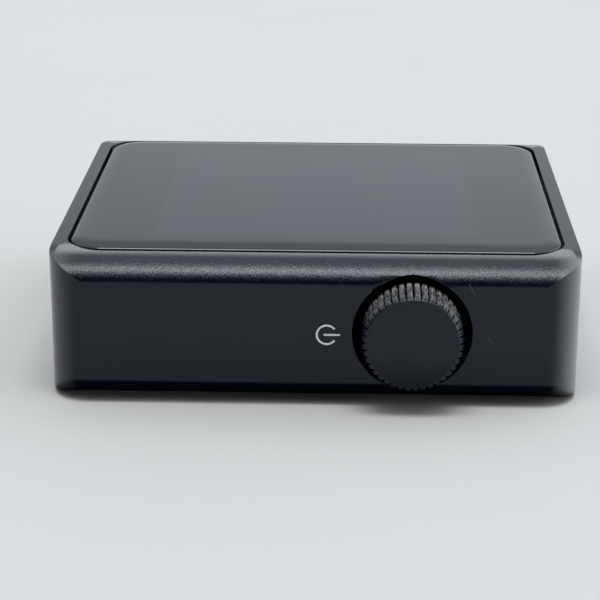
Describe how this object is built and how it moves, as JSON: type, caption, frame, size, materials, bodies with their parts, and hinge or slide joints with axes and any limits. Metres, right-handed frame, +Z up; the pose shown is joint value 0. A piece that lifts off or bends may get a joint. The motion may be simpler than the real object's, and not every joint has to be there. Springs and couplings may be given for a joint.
{
  "type": "digital audio player",
  "caption": "Pocket music player with a square touch display, a rounded metal body and a toothed push-and-turn knob in one side.",
  "frame": {"origin": "middle of the body without the knob, in the plane the body lies on", "axes": "+Z up out of the screen; +X along the body towards its top end, away from the ports; the knob side faces -Y"},
  "size_m": [0.045, 0.0445, 0.013],
  "materials": {
    "case_aluminium": "bead-blasted, black anodised",
    "cover_glass": "polished, rounded edge",
    "knob_aluminium": "satin, black anodised",
    "white_ink": "matt white print",
    "steel": "bright rolled stainless steel",
    "jack_metal": "dark plated",
    "gold_contact": "gold plated",
    "black_plastic": "fine matt moulding",
    "white_plastic": "fine matt moulding",
    "black_foam": "closed-cell foam",
    "touch_film": "clear laminated film",
    "display_glass": "polished dark panel",
    "ribbon": "amber flexible circuit",
    "board": "green solder mask",
    "chip": "matt epoxy moulding",
    "coil": "sintered ferrite",
    "ceramic": "white fired ceramic",
    "battery_foil": "laminated foil pouch",
    "red_sleeve": "silicone wire sleeve",
    "black_sleeve": "silicone wire sleeve",
    "brass": "turned"
  },
  "bodies": {
    "player": {"audio_converter": "chip", "battery_cell": "battery_foil", "battery_pad": "black_foam", "battery_plug": "white_plastic", "battery_socket": "white_plastic", "battery_wire_black": "black_sleeve", "battery_wire_red": "red_sleeve", "board_screw_1": "steel", "board_screw_2": "steel", "board_screw_3": "steel", "board_screw_4": "steel", "card_socket_base": "black_plastic", "card_socket_cover": "steel", "case_shell": "case_aluminium", "clock_crystal": "steel", "cover_glass": "cover_glass", "display_backlight": "steel", "display_connector": "black_plastic", "display_frame": "black_plastic", "display_panel": "display_glass", "display_ribbon": "ribbon", "encoder_bushing": "brass", "encoder_housing": "black_plastic", "encoder_strap": "steel", "glass_gasket": "black_foam", "headphone_amplifier": "chip", "jack_body": "black_plastic", "jack_collar": "jack_metal", "jack_ring_spring": "gold_contact", "jack_sleeve_spring": "gold_contact", "jack_tip_spring": "gold_contact", "knob_washer": "black_plastic", "main_board": "board", "memory_chip": "chip", "power_coil": "coil", "power_controller": "chip", "power_mark_bar": "white_ink", "power_mark_ring": "white_ink", "processor": "chip", "radio_antenna": "ceramic", "radio_shield": "steel", "switch_base": "black_plastic", "switch_dome": "steel", "touch_connector": "black_plastic", "touch_film": "touch_film", "touch_ribbon": "ribbon", "usb_shell": "steel", "usb_tongue": "black_plastic"},
    "press": {"switch_plunger": "black_plastic"},
    "dial": {"knob": "knob_aluminium", "encoder_shaft": "steel"},
    "rotor": {"encoder_rotor": "white_plastic"}
  },
  "joints": [
    {"name": "knob_press", "type": "slide", "parent": "player", "child": "press", "axis": [0, 1, 0], "range_m": [0, 0.0003], "stiffness_N_per_m": 6000},
    {"name": "knob_turn", "type": "hinge", "parent": "press", "child": "dial", "pos_m": [0.00827, -0.021, 0.00658], "axis": [0, 1, 0], "continuous": true},
    {"name": "rotor_turn", "type": "hinge", "parent": "player", "child": "rotor", "pos_m": [0.00827, -0.014, 0.00658], "axis": [0, 1, 0], "continuous": true}
  ],
  "couplings": [
    {"joint": "rotor_turn", "follows": "knob_turn", "ratio": 1}
  ]
}
